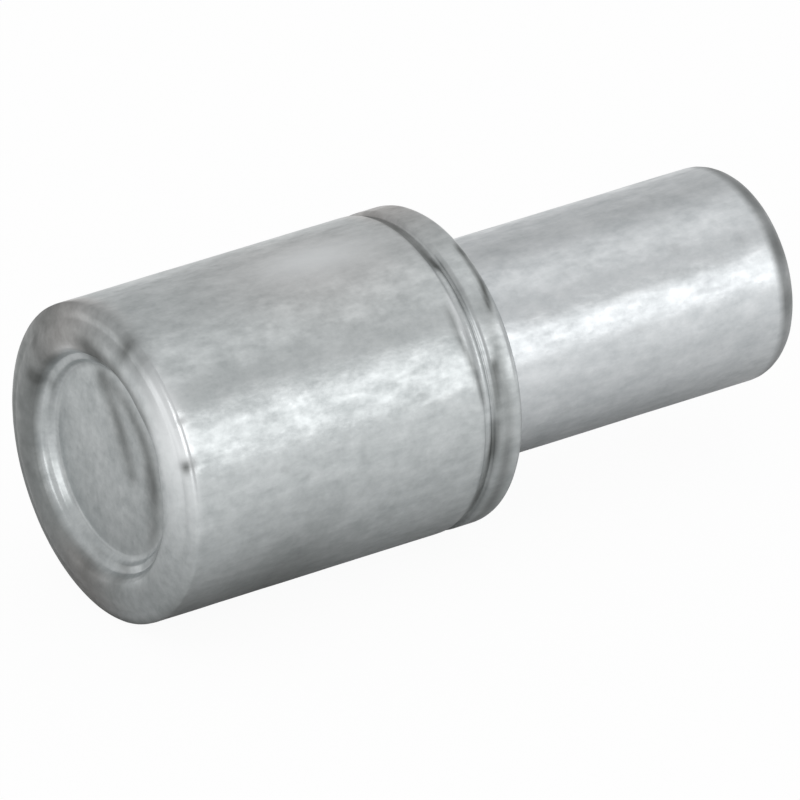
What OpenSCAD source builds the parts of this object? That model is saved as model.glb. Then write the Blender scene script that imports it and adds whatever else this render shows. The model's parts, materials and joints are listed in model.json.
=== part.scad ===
// Shelf support pin: a stepped round pin in zinc-plated steel, formed as one piece.
// The stem plugs into the drilled hole of a cabinet side, up to the shoulder, and the shelf lies on the
// wide body. The axis runs along X, the stem points to +X, and X = 0 is the shoulder's face.

/* [Body] */
// Diameter of the wide body
body_d = 7.35; // [6.9:0.05:10]
// Length of the wide body, from the shoulder's face to the rim
body_len = 9; // [5:0.1:16]
// Radius of the round on the rim's outer edge
rim_round = 0.35; // [0.1:0.05:0.7]

/* [Collar] */
// Length of the collar at the shoulder, up to the middle of the groove that sets it off
collar_len = 0.95; // [0.6:0.05:2]
// Width of the groove, where it opens in the body's wall
groove_w = 0.3; // [0.1:0.05:0.5]
// Depth of the groove below the body's wall
groove_depth = 0.05; // [0.02:0.01:0.12]
// Radius of the round on the shoulder's edge
shoulder_round = 0.2; // [0.1:0.05:0.3]

/* [Stem] */
// Diameter of the stem, for a 5 mm shelf hole
stem_d = 5; // [3:0.1:5.6]
// Length of the stem, from the shoulder's face to the tip
stem_len = 8.45; // [5:0.05:14]
// Radius of the hollow round where the stem meets the shoulder
root_round = 0.25; // [0.1:0.05:0.4]
// Radius of the round on the tip's edge
tip_round = 0.6; // [0.1:0.05:1.2]

/* [End recess] */
// Diameter of the round recess in the body's end, at its mouth
recess_d = 5.2; // [4.7:0.1:5.8]
// Depth of the recess, from the rim to its floor
recess_depth = 0.5; // [0.35:0.05:1.2]
// Diameter of the recess's floor, so that the wall leans in from the mouth
recess_floor_d = 4.45; // [3:0.05:5]
// Radius of the round on the recess's mouth
mouth_round = 0.2; // [0.1:0.05:0.3]
// Radius of the hollow round between the recess's wall and its floor
floor_round = 0.2; // [0.1:0.05:0.3]

/* [Hidden] */
$fn = 96;
body_r = body_d / 2;
stem_r = stem_d / 2;
mouth_r = recess_d / 2;
rim_x = -body_len;
recess_floor_x = rim_x + recess_depth;
recess_floor_r = recess_floor_d / 2;
// Radius of the arc that cuts the groove to its width and depth
groove_r = (pow(groove_w / 2, 2) + pow(groove_depth, 2)) / (2 * groove_depth);

// Corners of the half section, each as distance from the axis and place along the axis
recess_centre = [0, recess_floor_x];
recess_foot = [recess_floor_r, recess_floor_x];
recess_mouth = [mouth_r, rim_x];
rim = [body_r, rim_x];
shoulder = [body_r, 0];
root = [stem_r, 0];
tip = [stem_r, stem_len];
tip_centre = [0, stem_len];

// The sliver between a corner and the arc that rounds it, tangent to the lines from the corner to before and after
module sliver(before, corner, after, radius) {
    u = (before - corner) / norm(before - corner);
    v = (after - corner) / norm(after - corner);
    half_angle = acos(u * v) / 2;
    reach = radius / tan(half_angle);
    centre = corner + (u + v) / norm(u + v) * radius / sin(half_angle);
    difference() {
        polygon([corner, corner + reach * u, centre, corner + reach * v]);
        translate(centre)
            circle(r = radius);
    }
}

// Half section with its outer edges rounded off, its inner corners filled and the groove cut
module section() {
    difference() {
        polygon([recess_centre, recess_foot, recess_mouth, rim, shoulder, root, tip, tip_centre]);
        sliver(recess_foot, recess_mouth, rim, mouth_round);
        sliver(recess_mouth, rim, shoulder, rim_round);
        sliver(rim, shoulder, root, shoulder_round);
        sliver(root, tip, tip_centre, tip_round);
        translate([body_r - groove_depth + groove_r, -collar_len])
            circle(r = groove_r);
    }
    sliver(recess_centre, recess_foot, recess_mouth, floor_round);
    sliver(shoulder, root, tip, root_round);
}

// The whole pin, turned from the half section
module pin() {
    color([0.72, 0.73, 0.74])
        rotate([0, 90, 0])
            rotate_extrude()
                section();
}

pin();
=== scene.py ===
# Shelf support pin: the zinc-plated finish with painted shade and highlights, the fine marks of forming, and
# the studio.
import json
import math

import bmesh
import bpy
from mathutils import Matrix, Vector, noise


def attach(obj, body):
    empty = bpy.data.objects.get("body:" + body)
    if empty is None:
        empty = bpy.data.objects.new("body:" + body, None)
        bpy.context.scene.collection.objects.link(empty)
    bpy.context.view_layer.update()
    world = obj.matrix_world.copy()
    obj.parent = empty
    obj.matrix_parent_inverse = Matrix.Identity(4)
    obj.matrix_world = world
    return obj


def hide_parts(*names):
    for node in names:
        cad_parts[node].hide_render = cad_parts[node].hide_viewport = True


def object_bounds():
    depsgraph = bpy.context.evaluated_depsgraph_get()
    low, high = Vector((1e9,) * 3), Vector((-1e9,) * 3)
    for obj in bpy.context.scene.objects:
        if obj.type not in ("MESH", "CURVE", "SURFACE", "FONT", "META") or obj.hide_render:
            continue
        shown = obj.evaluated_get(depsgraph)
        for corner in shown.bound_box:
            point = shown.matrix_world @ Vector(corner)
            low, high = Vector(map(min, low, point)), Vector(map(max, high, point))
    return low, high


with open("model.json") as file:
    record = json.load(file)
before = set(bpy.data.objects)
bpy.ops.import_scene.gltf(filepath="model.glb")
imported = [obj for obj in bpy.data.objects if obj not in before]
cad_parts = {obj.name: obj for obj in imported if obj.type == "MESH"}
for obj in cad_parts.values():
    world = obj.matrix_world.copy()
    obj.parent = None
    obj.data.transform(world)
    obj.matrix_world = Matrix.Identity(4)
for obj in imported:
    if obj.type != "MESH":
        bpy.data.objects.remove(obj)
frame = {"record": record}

CAD_LOW, CAD_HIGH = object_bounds()
MM = 0.001

# Sizes of the pin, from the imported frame
MOUNTS = {mount["name"]: mount for mount in frame["record"]["mounts"]}
BODY_RADIUS = min(CAD_HIGH.y, CAD_HIGH.z)
STEM_RADIUS = MOUNTS["stem"]["dims"]["r_mm"] * MM
RIM_X = CAD_LOW.x
TIP_X = CAD_HIGH.x
SHOULDER_X = MOUNTS["shoulder"]["pos_m"][0]

# Edge rounds, the collar's groove and the end recess
RIM_ROUND = 0.35 * MM
TIP_ROUND = 0.6 * MM
SHOULDER_ROUND = 0.2 * MM
ROOT_ROUND = 0.25 * MM
GROOVE_X = SHOULDER_X - 0.95 * MM
GROOVE_WIDTH = 0.3 * MM
GROOVE_DEPTH = 0.05 * MM
RECESS_MOUTH_RADIUS = 2.6 * MM
RECESS_FLOOR_RADIUS = 2.225 * MM
RECESS_DEPTH = 0.5 * MM
MOUTH_ROUND = 0.2 * MM
FLOOR_ROUND = 0.2 * MM

# Mesh fineness
TURN_STEPS = 288
ROUND_STEPS = 8
GROOVE_STEPS = 8
RING_SPACING = 0.09 * MM
RING_SLACK = 0.001 * MM
MERGE_DISTANCE = 0.0005 * MM

# Unevenness of the plated surface, always pressed inward: depth, and features per mm along X and across it
WAVE_DEPTH = 0.012 * MM
WAVE_ALONG = 0.5
WAVE_ACROSS = 0.9
RIPPLE_DEPTH = 0.004 * MM
RIPPLE_ALONG = 1.6
RIPPLE_ACROSS = 3.2
RIPPLE_SHIFT = Vector((7, 3, 5))

# The side that faces the camera, as an angle up from the front about the axis
NEAR_SIDE = 29.7

# Small dents: place along X in mm, angle up from the front in degrees, width and depth in mm
DENTS = [
    (-8.82, 72, 0.30, 0.03),
    (-8.70, 63, 0.22, 0.025),
    (-8.72, 22, 0.22, 0.035),
    (-8.66, 38, 0.15, 0.025),
    (-6.38, 10, 0.16, 0.02),
    (-6.10, 7, 0.14, 0.016),
    (-5.80, 5, 0.16, 0.02),
    (-4.10, 58, 0.35, 0.012),
    (-2.60, 20, 0.18, 0.012),
    (-3.40, -25, 0.25, 0.014),
    (4.00, 14, 0.20, 0.012),
    (5.50, 50, 0.30, 0.014),
    (7.20, 45, 0.25, 0.016),
    (2.10, -20, 0.22, 0.012),
    (-5.00, 150, 0.30, 0.016),
    (-2.20, 205, 0.25, 0.014),
    (-7.10, 250, 0.28, 0.016),
    (3.30, 170, 0.24, 0.014),
    (6.10, 235, 0.22, 0.012),
]
DENT_SOIL_PER_MM = 9

# Folds that forming pressed into the recess's floor: how dark, width and depth in mm, and their course
# from the axis in mm, as (towards the camera's side, across it)
FOLDS = [
    (0.52, 0.25, 0.025, [(0.48, 1.75), (0.60, 1.40), (0.66, 0.80), (0.64, 0.10), (0.56, -0.40)]),
    (0.22, 0.16, 0.015, [(1.25, -0.40), (1.05, -0.95), (0.62, -1.50)]),
]

# The rim stands highest midway between the recess and the rim's round, and falls off to both sides
CROWN_RADIUS = 2.85 * MM
CROWN_HALF_WIDTH = 0.5 * MM
CROWN_FALL = 0.16 * MM
CROWN_FACING = -0.2
LIP_WANDER = 0.05 * MM
LIP_WANDER_SCALE = 0.9
LIP_WANDER_SEED = 6

# Where the collar and its lines lie, in mm
COLLAR_START_X = -1.7
COLLAR_END_X = 0.05
COLLAR_INNER_RADIUS = 2.9

# Lines pressed into the collar, each with painted shade along it: how dark, width and depth in mm, and their
# course as (angle up from the front in degrees, place along X in mm)
COLLAR_LINES = [
    (0.75, 0.12, 0.020, [(60, -0.86), (70, -0.97), (80, -0.97), (132, -0.95)]),
    (0.40, 0.10, 0.015, [(42, -0.88), (53, -0.80), (60, -0.84), (70, -0.95)]),
    (0.55, 0.07, 0.012, [(8, -1.02), (22, -1.12), (37, -1.30), (50, -1.30)]),
    (0.80, 0.08, 0.020, [(39, -0.32), (53, -0.16), (74, -0.15)]),
    (0.62, 0.11, 0.015, [(4, -0.74), (17, -0.67), (29, -0.60)]),
    (0.75, 0.14, 0.015, [(-70, -0.95), (-18, -0.92), (0, -0.78), (9, -0.71)]),
    (0.45, 0.10, 0.010, [(150, -0.90), (190, -0.95), (230, -0.85)]),
    (0.45, 0.12, 0.010, [(220, -0.50), (260, -0.60), (285, -0.50)]),
]
LINE_FADE = 6

# In the painted shade, painted highlights and tints below, angles are degrees up from the front, lengths are
# mm, and a strength of 1 is full strength.
# A name with AT holds (middle, spread) of a smooth patch, and one with OVER (start, end) of a smooth change.

# Painted shade over the recess's floor, and more under the near lip, as the camera sees it past the lip: an
# arc about a place beyond the axis
RECESS_SHADE = 0.14
LIP_ARC_SHADE = 0.52
LIP_ARC_CENTRE = -0.85
LIP_ARC_AT = (2.38, 0.22)
LIP_ARC_OVER = (0.2, 1.0)

# Painted shade on the rim's far side, which begins and ends over a cosine of the angle from its middle
RIM_REACH = 0.9
RIM_INNER_RADIUS = 2.3
RIM_LIT_SIDE = NEAR_SIDE - 12
RIM_FAR_SHADE = 0.8
RIM_FAR_OVER = (-0.3, 0.5)
RIM_RADIUS_OVER = (2.5, 2.6)
RIM_SHADE_ENDS_OVER = (0.25, 0.6)

# More painted shade round the rim, or less where it is negative: strength, and angle and spread
RIM_SHADE = [
    (0.24, (110, 24)),
    (0.26, (-50, 28)),
    (-0.20, (-95, 40)),
]

# Mottled stretch of the rim, where the painted shade is thinner in places
RIM_MOTTLED_AT = (125, 30)
RIM_MOTTLED_LIFT = 0.25
RIM_MOTTLED_EVEN = 0.3
RIM_MOTTLED_UNEVEN = 0.7
RIM_MOTTLED_SCALE = 1.6
RIM_MOTTLED_SEED = 4

# Painted shade at the rim's top, along the recess's upper lip, and along its near lip, again over a cosine
RIM_TOP_SHADE = 0.25
RIM_TOP_AT = (86, 14)
RIM_TOP_ENDS_OVER = (0.3, 0.7)
UPPER_LIP_SHADE = 0.6
UPPER_LIP_STARTS_OVER = (32, 46)
UPPER_LIP_ENDS_OVER = (85, 100)
UPPER_LIP_RADIUS_AT = (2.74, 0.22)
NEAR_LIP_SHADE = 0.5
NEAR_LIP_SIDE = 8
NEAR_LIP_OVER = (0.45, 0.85)
NEAR_LIP_RADIUS_AT = (2.56, 0.1)
LIP_ENDS_OVER = (0.2, 0.4)

# Dark spots on the end: distance from the axis, angle, size and strength
END_SPOTS = [
    (3.65, 72, 0.60, 0.45),
    (3.60, 62, 0.40, 0.25),
    (2.82, 96, 0.50, 0.62),
    (2.70, 153, 0.28, 0.35),
    (3.30, 140, 0.30, 0.25),
    (2.65, -98, 0.40, 0.25),
    (2.60, -72, 0.40, 0.45),
    (3.75, 21, 0.24, 0.80),
]
SPOT_SPREAD = 0.7
SPOT_ENDS_OVER = (0.5, 0.8)

# Stretch of the recess's lip with a painted highlight
LIP_HIGHLIGHT = 0.7
LIP_HIGHLIGHT_AT = (115, 11)
LIP_HIGHLIGHT_RADIUS_AT = (2.57, 0.18)
LIP_HIGHLIGHT_ENDS_OVER = (0.4, 0.6)

# Painted shade on the collar's top, and bands of painted shade round its lower side: strength, place along X
# and width, the angle of the middle, and how far from it the band begins to fade and ends
COLLAR_TOP_SHADE = 0.2
COLLAR_TOP_STARTS_OVER = (75, 95)
COLLAR_TOP_ENDS_OVER = (125, 150)
COLLAR_TOP_X_OVER = (-1.1, -0.9)
COLLAR_BANDS = [
    (0.28, (-0.45, 0.30), -75, (60, 95)),
    (0.36, (-0.46, 0.16), -60, (85, 115)),
]

# Painted shade on the stem: round its root, under it, on the tip, along a short band and along a faint long
# one
STEM_OUTER_RADIUS = 2.95
ROOT_SHADE = 0.45
ROOT_SHADE_ENDS_OVER = (0.1, 0.5)
UNDER_ROOT_SHADE = 0.5
UNDER_ROOT_AT = (-60, 20)
UNDER_ROOT_ENDS_OVER = (0.8, 2.6)
TIP_SHADE = 0.72
TIP_SHADE_ENDS_OVER = (0.45, 0.72)
STEM_BANDS_FROM_ENDS = 0.6
SHORT_BAND_SHADE = 0.22
SHORT_BAND_AT = (37, 4)
SHORT_BAND_STARTS_OVER = (0.6, 1.5)
SHORT_BAND_ENDS_OVER = (6.2, 7.4)
LONG_BAND_SHADE = 0.12
LONG_BAND_AT = (84, 8)

# How uneven the painted shade, the folds' darkening and the dents' dirt are away from the rim
SHADE_AND_DIRT_UNEVEN = 0.4
SHADE_AND_DIRT_UNEVEN_SCALE = 1.1
SHADE_AND_DIRT_UNEVEN_SEED = 2

# Painted shade on the underside, as angles down from the front: all along it, near the rim and under the body
UNDERSIDE_TIP_GAP = 0.02
BODY_WALL_OVER = (3.2, 3.55)
STEM_WALL_OVER = (0.0, 0.2)
UNDERSIDE_ENDS_OVER = (118, 160)
UNDERSIDE_SHADE = 0.46
UNDERSIDE_STARTS_OVER = (10, 58)
UNDERSIDE_RIM_OVER = (0.1, 0.4)
UNDER_RIM_SHADE = 0.35
UNDER_RIM_ENDS_OVER = (0.6, 2.4)
UNDER_BODY_SHADE = 0.4
UNDER_BODY_STARTS_OVER = (-8, 38)
UNDER_BODY_AT = (3.0, 1.6)

# Warm tint on two stretches of the rim, on the collar's top and on a patch of the body
WARM_RIM_RADIUS_OVER = (2.5, 2.7)
WARM_RIM_ENDS_OVER = (0.4, 0.9)
WARM_RIM_UPPER_AT = (118, 26)
WARM_RIM_LOWER_AT = (-102, 20)
WARM_COLLAR_AT = (112, 22)
WARM_COLLAR_STARTS_OVER = (-1.6, -0.9)
WARM_COLLAR_ENDS_OVER = (-0.2, 0.1)
WARM_PATCH = 0.6
WARM_PATCH_X_AT = (-3.6, 2.2)
WARM_PATCH_AT = (82, 24)

# Brighter zinc all along the stem
DRAWN_STARTS_OVER = (0.2, 0.8)

# Painted highlights on the near side of the rim's round and face, on a patch of the body and beside a collar
# line
HIGHLIGHT_ROUND_AT = (40, 17)
HIGHLIGHT_ROUND_ACROSS_AT = (3.7, 0.42)
HIGHLIGHT_ROUND_ENDS_OVER = (0.5, 0.8)
HIGHLIGHT_FACE = 0.5
HIGHLIGHT_FACE_AT = (26, 28)
HIGHLIGHT_FACE_RADIUS_OVER = (2.75, 2.95)
HIGHLIGHT_FACE_ENDS_OVER = (0.3, 0.5)
HIGHLIGHT_PATCH = 0.85
HIGHLIGHT_PATCH_X_AT = (-3.4, 1.7)
HIGHLIGHT_PATCH_AT = (85, 11)
HIGHLIGHT_PATCH_STARTS_OVER = (0.9, 1.4)
HIGHLIGHT_PATCH_ENDS_OVER = (-1.2, -1.0)
HIGHLIGHT_LINE = 0.8
HIGHLIGHT_LINE_X_AT = (-1.1, 0.09)
HIGHLIGHT_LINE_AT = (44, 8)
HIGHLIGHT_LINE_RADIUS_OVER = (2.9, 3.2)

# Colours of the plating, dull and bright, between which the mottling runs
ZINC = ((0.475, 0.505, 0.51, 1.0), (0.66, 0.69, 0.695, 1.0))
DRAWN_ZINC = ((0.59, 0.62, 0.635, 1.0), (0.77, 0.795, 0.81, 1.0))
WARM_ZINC = ((0.49, 0.475, 0.465, 1.0), (0.7, 0.685, 0.675, 1.0))
# The colour of the painted highlights, then the colour of the painted shade and the dents' dirt, and how far
# it goes
HIGHLIGHT_ZINC = (0.89, 0.915, 0.925, 1.0)
SHADE_AND_DIRT_ZINC = (0.11, 0.115, 0.11, 1.0)
MOST_SHADE_AND_DIRT = 0.9

# Grains of the mottling: how far drawn out along the axis, features per mm, detail, and their weights in
# colour and in height
GRAINS = [
    (1.5, 2.2, 3.0, 0.45, 0.55),
    (3.0, 4.5, 4.0, 0.35, 0.30),
    (1.2, 7.0, 2.0, 0.20, 0.15),
]
GRAIN_ROUGHNESS = 0.6
DULLEST_GRAIN = 0.36
BRIGHTEST_GRAIN = 0.64
DULL_ROUGHNESS = 0.4
BRIGHT_ROUGHNESS = 0.28
# Painted shade and the dents' dirt also make the plating rougher
SHADE_AND_DIRT_ROUGHNESS = 0.15
BUMP_STRENGTH = 0.35
BUMP_HEIGHT = 0.03 * MM

# Camera, as the photograph sees the pin
AZIMUTH = math.radians(-34.84)
ELEVATION = math.radians(26.40)
DISTANCE = 0.3356
LENS = 679.6
SENSOR = 36.0
CLIP_START = 0.01
CLIP_END = 10.0
ORIGIN_RIGHT_OF_CENTRE = 0.673 * MM
ORIGIN_ABOVE_CENTRE = 0.822 * MM

# Floor: white to the camera, and to reflections white away from the pin, with a painted shadow round it
FLOOR_HALF_WIDTH = 2.0
PAPER = (0.85, 0.85, 0.85, 1.0)
WHITE_STRENGTH = 1.02
WHITE_TO_CAMERA = 0.93
PAINTED_SHADOW_DARKEST_TO = 2 * MM
PAINTED_SHADOW_ENDS_AT = 16 * MM
WHITE_TO_REFLECTIONS_NEAR = 0.02
WHITE_TO_REFLECTIONS_FAR = 0.75

# Lamps: direction from the pin, width and height in metres, power in watts
SKY = (1.0, 1.0, 1.0, 1.0)
SKY_STRENGTH = 0.62
LAMP_DISTANCE = 0.4
SOFTBOXES = {
    "key_softbox": ((0.47, -0.8, 0.37), 0.14, 0.24, 0.145),
    "top_softbox": ((0.62, -0.05, 0.78), 0.25, 0.25, 0.06),
    "left_softbox": ((-0.8, -0.5, 0.28), 0.24, 0.24, 0.18),
}


def groove_section():
    """The groove's arc across the body's wall, from the body's side to the collar's."""
    half = GROOVE_WIDTH / 2
    arc_radius = (half ** 2 + GROOVE_DEPTH ** 2) / (2 * GROOVE_DEPTH)
    centre_radius = BODY_RADIUS - GROOVE_DEPTH + arc_radius
    half_angle = math.asin(half / arc_radius)
    points = []
    for step in range(GROOVE_STEPS + 1):
        angle = half_angle * (2 * step / GROOVE_STEPS - 1)
        points.append((GROOVE_X + arc_radius * math.sin(angle), centre_radius - arc_radius * math.cos(angle)))
    return points


def half_section():
    """The pin's outline from the recess's centre to the tip's, as (place along X, distance from the axis)."""
    floor_x = RIM_X + RECESS_DEPTH
    return [
        (floor_x, 0.0),
        (floor_x, RECESS_FLOOR_RADIUS),
        (RIM_X, RECESS_MOUTH_RADIUS),
        (RIM_X, BODY_RADIUS),
        *groove_section(),
        (SHOULDER_X, BODY_RADIUS),
        (SHOULDER_X, STEM_RADIUS),
        (TIP_X, STEM_RADIUS),
        (TIP_X, 0.0),
    ]


def distance_from_axis(point):
    return math.hypot(point.y, point.z)


def ring_edges(bm, x, radius):
    """The edges of the ring that lies at this place and distance from the axis."""

    def on_ring(vert):
        return abs(vert.co.x - x) < RING_SLACK and abs(distance_from_axis(vert.co) - radius) < RING_SLACK

    return [edge for edge in bm.edges if all(on_ring(vert) for vert in edge.verts)]


def round_ring(bm, x, radius, round_radius, turn=math.pi / 2):
    """Rounds the ring edge at this place, or fills it where it is an inner corner."""
    bmesh.ops.bevel(
        bm, geom=ring_edges(bm, x, radius), affect="EDGES", offset=round_radius * math.tan(turn / 2),
        offset_type="OFFSET", segments=ROUND_STEPS, profile=0.5, material=-1, clamp_overlap=False,
    )


def cut_rings(bm):
    """Adds rings along the straight walls, so that the forming marks have points to move."""
    walls = {}
    for edge in bm.edges:
        start, end = (vert.co for vert in edge.verts)
        run = math.hypot(start.x - end.x, distance_from_axis(start) - distance_from_axis(end))
        if run > 2 * RING_SPACING:
            walls.setdefault(round(run / RING_SPACING), []).append(edge)
    for cuts, edges in walls.items():
        bmesh.ops.subdivide_edges(bm, edges=edges, cuts=cuts, use_grid_fill=True)


def turned_pin():
    """The pin turned about X from its half section, with its edges rounded."""
    bm = bmesh.new()
    points = [bm.verts.new((x, 0.0, radius)) for x, radius in half_section()]
    lines = [bm.edges.new(pair) for pair in zip(points, points[1:])]
    bmesh.ops.spin(
        bm, geom=points + lines, cent=(0, 0, 0), axis=(1, 0, 0), angle=math.tau,
        steps=TURN_STEPS, use_merge=True, use_duplicate=False,
    )
    bmesh.ops.remove_doubles(bm, verts=bm.verts, dist=MERGE_DISTANCE)
    wall_turn = math.atan2(RECESS_DEPTH, RECESS_MOUTH_RADIUS - RECESS_FLOOR_RADIUS)
    round_ring(bm, RIM_X + RECESS_DEPTH, RECESS_FLOOR_RADIUS, FLOOR_ROUND, wall_turn)
    round_ring(bm, RIM_X, RECESS_MOUTH_RADIUS, MOUTH_ROUND, wall_turn)
    round_ring(bm, RIM_X, BODY_RADIUS, RIM_ROUND)
    round_ring(bm, SHOULDER_X, BODY_RADIUS, SHOULDER_ROUND)
    round_ring(bm, SHOULDER_X, STEM_RADIUS, ROOT_ROUND)
    round_ring(bm, TIP_X, STEM_RADIUS, TIP_ROUND)
    cut_rings(bm)
    bmesh.ops.recalc_face_normals(bm, faces=bm.faces)
    return bm


def angle_up(point):
    """The angle about the axis in degrees, up from the front."""
    return math.degrees(math.atan2(point.z, -point.y))


def apart(first, second):
    """The difference of two angles, between -180 and 180 degrees."""
    return (first - second + 180) % 360 - 180


def hump(value, centre, width):
    """1 at the centre, falling smoothly to 0 over about two widths."""
    return math.exp(-((value - centre) / width) ** 2)


def side(turn, middle, spread):
    """1 at an angle about the axis, falling smoothly to 0 over about two spreads."""
    return hump(apart(turn, middle), 0, spread)


def rise(value, start, end):
    """0 before the start, 1 after the end, smooth between."""
    share = min(max((value - start) / (end - start), 0.0), 1.0)
    return share * share * (3 - 2 * share)


def fade(value, start, end):
    """1 before the start, 0 after the end, smooth between."""
    return 1 - rise(value, start, end)


def off_course(course, place):
    """How far a flat place lies from a line drawn through points."""
    distances = []
    for start, end in zip(course, course[1:]):
        start, run = Vector(start), Vector(end) - Vector(start)
        share = min(max((place - start).dot(run) / run.length_squared, 0.0), 1.0)
        distances.append((place - start - share * run).length)
    return min(distances)


def seen_flat(point):
    """A point on the end as (towards the camera's side, across it) from the axis, in mm."""
    near = math.radians(NEAR_SIDE)
    toward = point.z * math.sin(near) - point.y * math.cos(near)
    across = point.z * math.cos(near) + point.y * math.sin(near)
    return Vector((toward, across)) / MM


def fold_share(course, width, point):
    """How deep a point on the recess's floor lies in a fold, from 0 to 1."""
    return hump(off_course(course, seen_flat(point)), 0, width)


def on_recess_floor(point):
    deep = RIM_X + 0.5 * RECESS_DEPTH < point.x < RIM_X + 2 * RECESS_DEPTH
    return deep and distance_from_axis(point) < RECESS_FLOOR_RADIUS


def dent_share(dent_x, dent_turn, width, x, turn, radius):
    """How deep a place lies in a dent, from 0 to 1. Lengths are in mm."""
    along = x - dent_x
    around = math.radians(apart(turn, dent_turn)) * radius
    if max(abs(along), abs(around)) > 2 * width:
        return 0.0
    return hump(math.hypot(along, around), 0, 0.5 * width)


def line_share(course, width, x, turn):
    """How deep a place lies in a collar line, from 0 to 1. Lengths are in mm."""
    first, last = course[0][0], course[-1][0]
    turn = first + (turn - first) % 360
    if turn > last:
        return 0.0
    ends = rise(turn, first, first + LINE_FADE) * fade(turn, last - LINE_FADE, last)
    for (start_turn, start_x), (end_turn, end_x) in zip(course, course[1:]):
        if turn <= end_turn:
            share = (turn - start_turn) / (end_turn - start_turn)
            return ends * hump(x, start_x + share * (end_x - start_x), width)
    return 0.0


def on_collar(x, radius):
    return COLLAR_START_X < x < COLLAR_END_X and radius > COLLAR_INNER_RADIUS


def uneven(x, point, scale, seed):
    """Smooth noise about the pin, from -1 to 1, in features per mm. The seed shifts it."""
    return noise.noise(Vector((x, point.y / MM, point.z / MM)) * scale + Vector((seed, 3 * seed, 5)))


def waviness(place):
    """How far the plating's waves and ripples lie below the plain surface, at a place in mm."""
    wave = noise.noise(Vector((place.x * WAVE_ALONG, place.y * WAVE_ACROSS, place.z * WAVE_ACROSS)))
    rippled = Vector((place.x * RIPPLE_ALONG, place.y * RIPPLE_ACROSS, place.z * RIPPLE_ACROSS))
    ripple = noise.noise(rippled + RIPPLE_SHIFT)
    return WAVE_DEPTH * (0.5 + 0.5 * wave) + RIPPLE_DEPTH * (0.5 + 0.5 * ripple)


def rim_fall(point, normal):
    """How far the rim's crown and its wandering lip lie below the flat rim."""
    radius = distance_from_axis(point)
    if normal.x >= CROWN_FACING or radius <= RECESS_MOUTH_RADIUS - MOUTH_ROUND:
        return 0.0
    off_crown = min(abs(radius - CROWN_RADIUS) / CROWN_HALF_WIDTH, 1.0)
    lip = hump(radius, RECESS_MOUTH_RADIUS, MOUTH_ROUND)
    wander = 0.5 + uneven(0.0, point, LIP_WANDER_SCALE, LIP_WANDER_SEED)
    return CROWN_FALL * off_crown * off_crown * -normal.x + LIP_WANDER * lip * wander


def press_marks(bm):
    """Presses the waves, dents, collar lines, rim's fall and folds into the surface, along the normals."""
    bm.normal_update()
    moves = []
    for vert in bm.verts:
        place = vert.co / MM
        depth = waviness(place)
        turn = angle_up(vert.co)
        radius = distance_from_axis(vert.co) / MM
        for dent_x, dent_turn, width, dent_depth in DENTS:
            depth += dent_depth * MM * dent_share(dent_x, dent_turn, width, place.x, turn, radius)
        if on_collar(place.x, radius):
            for _, width, line_depth, course in COLLAR_LINES:
                depth += line_depth * MM * line_share(course, width, place.x, turn)
        depth += rim_fall(vert.co, vert.normal)
        if on_recess_floor(vert.co):
            for _, width, fold_depth, course in FOLDS:
                depth += fold_depth * MM * fold_share(course, width, vert.co)
        moves.append(vert.normal * -depth)
    for vert, move in zip(bm.verts, moves):
        vert.co += move
    bm.normal_update()


def lip_highlight(from_rim, radius, turn):
    """The short stretch of the recess's lip with a painted highlight."""
    along = side(turn, *LIP_HIGHLIGHT_AT) * hump(radius, *LIP_HIGHLIGHT_RADIUS_AT)
    return LIP_HIGHLIGHT * along * fade(from_rim, *LIP_HIGHLIGHT_ENDS_OVER)


def rim_shade(point, from_rim, radius, turn):
    """Painted shade on the rim: an even dark band round the far side and the top, along the lips, and dark
    spots; less under the lip's painted highlight.
    """
    far = -math.cos(math.radians(apart(turn, RIM_LIT_SIDE)))
    even = RIM_FAR_SHADE * rise(far, *RIM_FAR_OVER)
    for dark, place in RIM_SHADE:
        even += dark * side(turn, *place)
    unevenness = uneven(from_rim, point, RIM_MOTTLED_SCALE, RIM_MOTTLED_SEED)
    mottled = side(turn, *RIM_MOTTLED_AT) * (RIM_MOTTLED_EVEN + RIM_MOTTLED_UNEVEN * unevenness)
    outside = rise(radius, *RIM_RADIUS_OVER) * fade(from_rim, *RIM_SHADE_ENDS_OVER)
    shade_and_dirt = outside * (even - RIM_MOTTLED_LIFT * max(mottled, 0.0))
    shade_and_dirt += RIM_TOP_SHADE * side(turn, *RIM_TOP_AT) * fade(from_rim, *RIM_TOP_ENDS_OVER)
    upper = rise(turn, *UPPER_LIP_STARTS_OVER) * fade(turn, *UPPER_LIP_ENDS_OVER)
    near = rise(math.cos(math.radians(apart(turn, NEAR_LIP_SIDE))), *NEAR_LIP_OVER)
    lips = UPPER_LIP_SHADE * upper * hump(radius, *UPPER_LIP_RADIUS_AT)
    lips += NEAR_LIP_SHADE * near * hump(radius, *NEAR_LIP_RADIUS_AT)
    shade_and_dirt += lips * fade(from_rim, *LIP_ENDS_OVER)
    for spot_radius, spot_turn, size, dark in END_SPOTS:
        around = math.radians(apart(turn, spot_turn)) * spot_radius
        outward = radius + from_rim - spot_radius
        spot = hump(math.hypot(around, outward), 0, SPOT_SPREAD * size)
        shade_and_dirt += dark * spot * fade(from_rim, *SPOT_ENDS_OVER)
    return max(shade_and_dirt - lip_highlight(from_rim, radius, turn), 0.0)


def recess_shade_and_folds(point):
    """Painted shade over the recess's floor and under the near lip, and darker along the folds."""
    seen = seen_flat(point)
    from_centre = seen - Vector((LIP_ARC_CENTRE, 0.0))
    under_lip = hump(from_centre.length, *LIP_ARC_AT) * rise(seen.x, *LIP_ARC_OVER)
    shade_and_dirt = RECESS_SHADE + LIP_ARC_SHADE * under_lip
    for dark, width, _, course in FOLDS:
        shade_and_dirt += dark * fold_share(course, width, point)
    return shade_and_dirt


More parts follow.
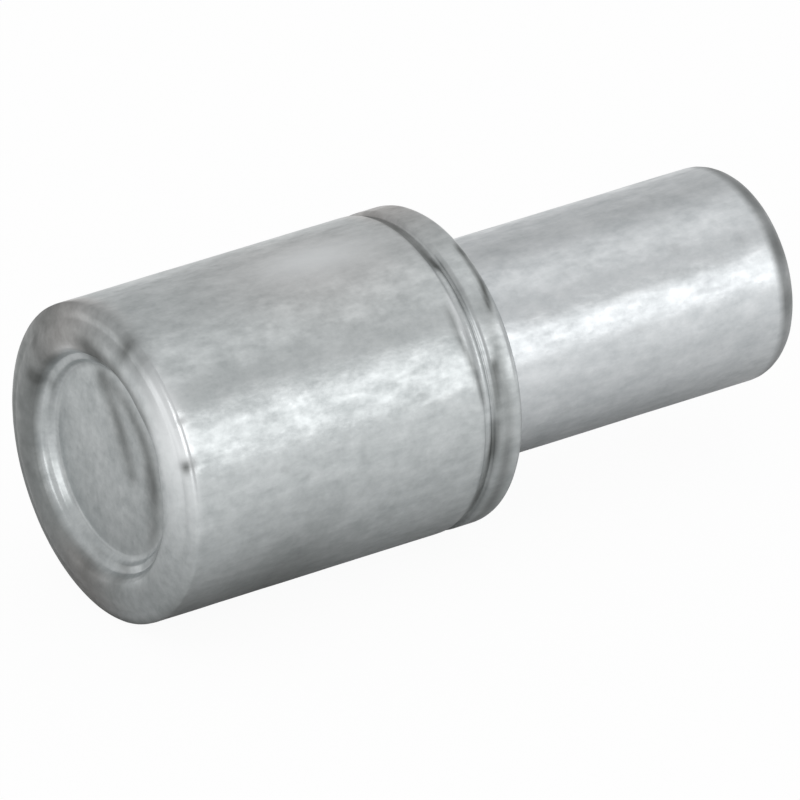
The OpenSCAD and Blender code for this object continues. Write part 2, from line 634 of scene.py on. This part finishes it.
def collar_shade(x, turn):
    """Painted shade on the collar, along its lines, on its top and on its lower side."""
    shade_and_dirt = 0.0
    for dark, width, _, course in COLLAR_LINES:
        shade_and_dirt += dark * line_share(course, width, x, turn)
    top = rise(turn, *COLLAR_TOP_STARTS_OVER) * fade(turn, *COLLAR_TOP_ENDS_OVER)
    shade_and_dirt += COLLAR_TOP_SHADE * top * rise(x, *COLLAR_TOP_X_OVER)
    for dark, place, middle, ends in COLLAR_BANDS:
        shade_and_dirt += dark * hump(x, *place) * fade(abs(apart(turn, middle)), *ends)
    return shade_and_dirt


def stem_shade(x, from_tip, turn):
    """Painted shade on the stem: at its root and under it, on its tip, and along two bands between."""
    shade_and_dirt = ROOT_SHADE * fade(x, *ROOT_SHADE_ENDS_OVER)
    shade_and_dirt += UNDER_ROOT_SHADE * side(turn, *UNDER_ROOT_AT) * fade(x, *UNDER_ROOT_ENDS_OVER)
    shade_and_dirt += TIP_SHADE * fade(from_tip, *TIP_SHADE_ENDS_OVER)
    if min(x, from_tip) > STEM_BANDS_FROM_ENDS:
        short = rise(x, *SHORT_BAND_STARTS_OVER) * fade(x, *SHORT_BAND_ENDS_OVER)
        shade_and_dirt += SHORT_BAND_SHADE * side(turn, *SHORT_BAND_AT) * short
        shade_and_dirt += LONG_BAND_SHADE * side(turn, *LONG_BAND_AT)
    return shade_and_dirt


def underside_shade(x, from_rim, radius, turn):
    """Painted shade on the lower side of the body's wall and the stem's."""
    down = -turn
    wall = max(rise(radius, *BODY_WALL_OVER), rise(x, *STEM_WALL_OVER)) * fade(down, *UNDERSIDE_ENDS_OVER)
    all_along = wall * rise(down, *UNDERSIDE_STARTS_OVER) * rise(from_rim, *UNDERSIDE_RIM_OVER)
    near_rim = all_along * fade(from_rim, *UNDER_RIM_ENDS_OVER)
    under_body = wall * rise(down, *UNDER_BODY_STARTS_OVER) * hump(from_rim, *UNDER_BODY_AT)
    return UNDERSIDE_SHADE * all_along + UNDER_RIM_SHADE * near_rim + UNDER_BODY_SHADE * under_body


def shade_and_dirt_at(point):
    """How dark a point is painted, from 0 to 1: painted shade, darker folds and dark spots, and dirt in the
    dents.
    """
    radius = distance_from_axis(point) / MM
    x = point.x / MM
    turn = angle_up(point)
    from_rim = x - RIM_X / MM
    from_tip = TIP_X / MM - x
    shade_and_dirt = 0.0
    for dent_x, dent_turn, width, dent_depth in DENTS:
        shade_and_dirt += DENT_SOIL_PER_MM * dent_depth * dent_share(dent_x, dent_turn, width, x, turn, radius)
    if on_collar(x, radius):
        shade_and_dirt += collar_shade(x, turn)
    if x >= 0 and radius < STEM_OUTER_RADIUS:
        shade_and_dirt += stem_shade(x, from_tip, turn)
    if on_recess_floor(point):
        shade_and_dirt += recess_shade_and_folds(point)
    shade_and_dirt *= 1 + SHADE_AND_DIRT_UNEVEN * uneven(x, point, SHADE_AND_DIRT_UNEVEN_SCALE, SHADE_AND_DIRT_UNEVEN_SEED)
    if from_rim < RIM_REACH and radius > RIM_INNER_RADIUS:
        shade_and_dirt += rim_shade(point, from_rim, radius, turn)
    if from_tip > UNDERSIDE_TIP_GAP:
        shade_and_dirt += underside_shade(x, from_rim, radius, turn) * (1 - shade_and_dirt)
    return min(max(shade_and_dirt, 0.0), 1.0)


def warm_at(point):
    """How warm the plating's tint has gone at a point, from 0 to 1."""
    x = point.x / MM
    turn = angle_up(point)
    radius = distance_from_axis(point) / MM
    on_rim = rise(radius, *WARM_RIM_RADIUS_OVER) * fade(x - RIM_X / MM, *WARM_RIM_ENDS_OVER)
    rim = on_rim * (side(turn, *WARM_RIM_UPPER_AT) + side(turn, *WARM_RIM_LOWER_AT))
    on_collar_top = rise(x, *WARM_COLLAR_STARTS_OVER) * fade(x, *WARM_COLLAR_ENDS_OVER)
    collar = side(turn, *WARM_COLLAR_AT) * on_collar_top
    patch = WARM_PATCH * hump(x, *WARM_PATCH_X_AT) * side(turn, *WARM_PATCH_AT)
    return min(rim + collar + patch, 1.0)


def bright_at(point):
    """How much brighter drawing left the plating: all along the stem."""
    return rise(point.x / MM, *DRAWN_STARTS_OVER)


def highlight_at(point):
    """How strong the painted highlights are at a point, from 0 to 1."""
    x = point.x / MM
    turn = angle_up(point)
    radius = distance_from_axis(point) / MM
    from_rim = x - RIM_X / MM
    across_round = hump(radius + from_rim, *HIGHLIGHT_ROUND_ACROSS_AT)
    rim_round = side(turn, *HIGHLIGHT_ROUND_AT) * across_round * fade(from_rim, *HIGHLIGHT_ROUND_ENDS_OVER)
    on_face = rise(radius, *HIGHLIGHT_FACE_RADIUS_OVER) * fade(from_rim, *HIGHLIGHT_FACE_ENDS_OVER)
    rim_face = HIGHLIGHT_FACE * side(turn, *HIGHLIGHT_FACE_AT) * on_face
    on_body = rise(from_rim, *HIGHLIGHT_PATCH_STARTS_OVER) * fade(x, *HIGHLIGHT_PATCH_ENDS_OVER)
    patch = HIGHLIGHT_PATCH * hump(x, *HIGHLIGHT_PATCH_X_AT) * side(turn, *HIGHLIGHT_PATCH_AT) * on_body
    on_wall = rise(radius, *HIGHLIGHT_LINE_RADIUS_OVER)
    line = HIGHLIGHT_LINE * hump(x, *HIGHLIGHT_LINE_X_AT) * side(turn, *HIGHLIGHT_LINE_AT) * on_wall
    return min(rim_round + rim_face + lip_highlight(from_rim, radius, turn) + patch + line, 1.0)


# What the plating's material reads from the mesh: painted shade with the dents' dirt, a warm tint, the stem's
# brighter zinc and painted highlights
TINTS_AND_PAINTED_LIGHT = {"shade_and_dirt": shade_and_dirt_at, "warm": warm_at, "drawn_bright": bright_at, "painted_highlight": highlight_at}


def store_tints_and_painted_light(mesh):
    """Stores the painted shade and highlights, and where the plating is warm or drawn brighter, for its
    material.
    """
    for name, value_at in TINTS_AND_PAINTED_LIGHT.items():
        values = mesh.attributes.new(name, "FLOAT", "POINT")
        values.data.foreach_set("value", [value_at(vert.co) for vert in mesh.vertices])


def add_node(tree, kind, inputs, **settings):
    """A shader node with its settings, and with values or links on its inputs."""
    node = tree.nodes.new(kind)
    for name, value in settings.items():
        setattr(node, name, value)
    for socket, value in inputs.items():
        if isinstance(value, bpy.types.NodeSocket):
            tree.links.new(value, node.inputs[socket])
        else:
            node.inputs[socket].default_value = value
    return node


def stored_value(tree, name):
    """One of the values that store_tints_and_painted_light stored."""
    return add_node(tree, "ShaderNodeAttribute", {}, attribute_name=name).outputs["Fac"]


def maths(tree, operation, *values):
    """The result of a maths node."""
    return add_node(tree, "ShaderNodeMath", dict(enumerate(values)), operation=operation).outputs[0]


def grain(tree, place, stretch, scale, detail):
    """Noise on the pin, in features per mm, drawn out along the axis by the stretch."""
    shrink = (1 / stretch, 1.0, 1.0)
    drawn = add_node(tree, "ShaderNodeVectorMath", {0: place, 1: shrink}, operation="MULTIPLY")
    return add_node(
        tree, "ShaderNodeTexNoise",
        {"Vector": drawn.outputs[0], "Scale": scale, "Detail": detail, "Roughness": GRAIN_ROUGHNESS},
    ).outputs[0]


def span(tree, value, low, high, to_low, to_high):
    """Maps a value from one span to another, held at its ends."""
    return add_node(tree, "ShaderNodeMapRange", {0: value, 1: low, 2: high, 3: to_low, 4: to_high}).outputs[0]


def blend(tree, share, first, second):
    """A colour between two colours."""
    node = add_node(tree, "ShaderNodeMix", {0: share, 6: first, 7: second}, data_type="RGBA")
    return node.outputs[2]


def sum_of(tree, first, second, weight):
    """The first value plus the second times a weight."""
    return maths(tree, "MULTIPLY_ADD", second, weight, first)


def zinc_plating():
    """Bright zinc on steel: satin, mottled, drawn out along the axis, with painted highlights, and dark with
    painted shade and the dents' dirt.
    """
    material = bpy.data.materials.new("zinc_plating")
    material.use_nodes = True
    tree = material.node_tree
    shader = tree.nodes["Principled BSDF"]
    shader.inputs["Metallic"].default_value = 1.0
    coords = add_node(tree, "ShaderNodeTexCoord", {}).outputs["Object"]
    place = add_node(tree, "ShaderNodeVectorMath", {0: coords, "Scale": 1 / MM}, operation="SCALE").outputs[0]
    shade_and_dirt = stored_value(tree, "shade_and_dirt")
    mottle = 0.0
    height = 0.0
    for stretch, scale, detail, colour_weight, height_weight in GRAINS:
        speckle = grain(tree, place, stretch, scale, detail)
        mottle = sum_of(tree, mottle, speckle, colour_weight)
        height = sum_of(tree, height, speckle, height_weight)
    mottle = span(tree, mottle, DULLEST_GRAIN, BRIGHTEST_GRAIN, 0.0, 1.0)
    zinc = blend(tree, mottle, *ZINC)
    zinc = blend(tree, stored_value(tree, "drawn_bright"), zinc, blend(tree, mottle, *DRAWN_ZINC))
    zinc = blend(tree, stored_value(tree, "warm"), zinc, blend(tree, mottle, *WARM_ZINC))
    # Painted highlights, then painted shade with the dents' dirt over them
    zinc = blend(tree, stored_value(tree, "painted_highlight"), zinc, HIGHLIGHT_ZINC)
    zinc = blend(tree, span(tree, shade_and_dirt, 0.0, 1.0, 0.0, MOST_SHADE_AND_DIRT), zinc, SHADE_AND_DIRT_ZINC)
    tree.links.new(zinc, shader.inputs["Base Color"])
    roughness = span(tree, mottle, 0.0, 1.0, DULL_ROUGHNESS, BRIGHT_ROUGHNESS)
    roughness = sum_of(tree, roughness, shade_and_dirt, SHADE_AND_DIRT_ROUGHNESS)
    tree.links.new(roughness, shader.inputs["Roughness"])
    relief = {"Strength": BUMP_STRENGTH, "Distance": BUMP_HEIGHT, "Height": height}
    bump = add_node(tree, "ShaderNodeBump", relief)
    tree.links.new(bump.outputs[0], shader.inputs["Normal"])
    return material


def make_pin():
    bm = turned_pin()
    press_marks(bm)
    mesh = bpy.data.meshes.new("plated_pin")
    bm.to_mesh(mesh)
    bm.free()
    mesh.polygons.foreach_set("use_smooth", [True] * len(mesh.polygons))
    store_tints_and_painted_light(mesh)
    mesh.materials.append(zinc_plating())
    pin = bpy.data.objects.new("plated_pin", mesh)
    bpy.context.collection.objects.link(pin)
    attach(pin, "root")
    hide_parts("pin")


def make_camera():
    camera = bpy.data.objects.new("camera", bpy.data.cameras.new("camera"))
    bpy.context.collection.objects.link(camera)
    camera.data.lens = LENS
    camera.data.sensor_width = SENSOR
    camera.data.clip_start = CLIP_START
    camera.data.clip_end = CLIP_END
    back = Vector((
        math.sin(AZIMUTH) * math.cos(ELEVATION),
        -math.cos(AZIMUTH) * math.cos(ELEVATION),
        math.sin(ELEVATION),
    ))
    right = Vector((math.cos(AZIMUTH), math.sin(AZIMUTH), 0.0))
    up = back.cross(right)
    camera.location = back * DISTANCE - right * ORIGIN_RIGHT_OF_CENTRE - up * ORIGIN_ABOVE_CENTRE
    camera.rotation_euler = (-back).to_track_quat("-Z", "Y").to_euler()
    bpy.context.scene.camera = camera


def from_pin(tree):
    """How far a place on the floor lies from the pin's middle line, in metres."""
    coords = add_node(tree, "ShaderNodeTexCoord", {}).outputs["Object"]
    flat = add_node(tree, "ShaderNodeSeparateXYZ", {0: coords})
    middle = (RIM_X + TIP_X) / 2
    along = maths(tree, "ABSOLUTE", maths(tree, "SUBTRACT", flat.outputs["X"], middle))
    beyond = maths(tree, "MAXIMUM", maths(tree, "SUBTRACT", along, TIP_X - middle), 0.0)
    offset = add_node(tree, "ShaderNodeCombineXYZ", {"X": beyond, "Y": flat.outputs["Y"]}).outputs[0]
    return add_node(tree, "ShaderNodeVectorMath", {0: offset}, operation="LENGTH").outputs["Value"]


def floor_paper():
    """White paper that keeps the pin's shadow, white to the camera and, away from the pin, to reflections;
    near the pin, reflections see a painted shadow where the white fades out.
    """
    material = bpy.data.materials.new("floor_paper")
    material.use_nodes = True
    tree = material.node_tree
    tree.nodes.clear()
    paper = add_node(tree, "ShaderNodeBsdfDiffuse", {"Color": PAPER}).outputs[0]
    white = add_node(tree, "ShaderNodeEmission", {"Strength": WHITE_STRENGTH}).outputs[0]
    ray = tree.nodes.new("ShaderNodeLightPath")
    white_past_painted_shadow = span(
        tree, from_pin(tree), PAINTED_SHADOW_DARKEST_TO, PAINTED_SHADOW_ENDS_AT,
        WHITE_TO_REFLECTIONS_NEAR, WHITE_TO_REFLECTIONS_FAR,
    )
    seen = maths(tree, "MULTIPLY", ray.outputs["Is Glossy Ray"], white_past_painted_shadow)
    seen = sum_of(tree, seen, ray.outputs["Is Camera Ray"], WHITE_TO_CAMERA)
    seen = sum_of(tree, seen, ray.outputs["Is Transmission Ray"], WHITE_TO_CAMERA)
    surface = add_node(tree, "ShaderNodeMixShader", {0: seen, 1: paper, 2: white}).outputs[0]
    add_node(tree, "ShaderNodeOutputMaterial", {"Surface": surface})
    return material


def make_floor():
    bm = bmesh.new()
    bmesh.ops.create_grid(bm, x_segments=1, y_segments=1, size=FLOOR_HALF_WIDTH)
    bmesh.ops.translate(bm, vec=(0, 0, CAD_LOW.z), verts=bm.verts)
    mesh = bpy.data.meshes.new("floor")
    bm.to_mesh(mesh)
    bm.free()
    floor = bpy.data.objects.new("floor", mesh)
    bpy.context.collection.objects.link(floor)
    mesh.materials.append(floor_paper())


def softbox(name, direction, width, height, power):
    """A rectangular lamp that faces the pin from this direction."""
    lamp = bpy.data.lights.new(name, "AREA")
    lamp.shape = "RECTANGLE"
    lamp.size = width
    lamp.size_y = height
    lamp.energy = power
    box = bpy.data.objects.new(name, lamp)
    bpy.context.collection.objects.link(box)
    toward = Vector(direction).normalized()
    box.location = toward * LAMP_DISTANCE
    box.rotation_euler = (-toward).to_track_quat("-Z", "Y").to_euler()


def make_studio():
    scene = bpy.context.scene
    scene.view_settings.view_transform = "Standard"
    world = bpy.data.worlds.new("studio")
    scene.world = world
    world.use_nodes = True
    sky = world.node_tree.nodes["Background"]
    sky.inputs["Color"].default_value = SKY
    sky.inputs["Strength"].default_value = SKY_STRENGTH
    for name, lamp in SOFTBOXES.items():
        softbox(name, *lamp)


make_pin()
make_camera()
make_floor()
make_studio()
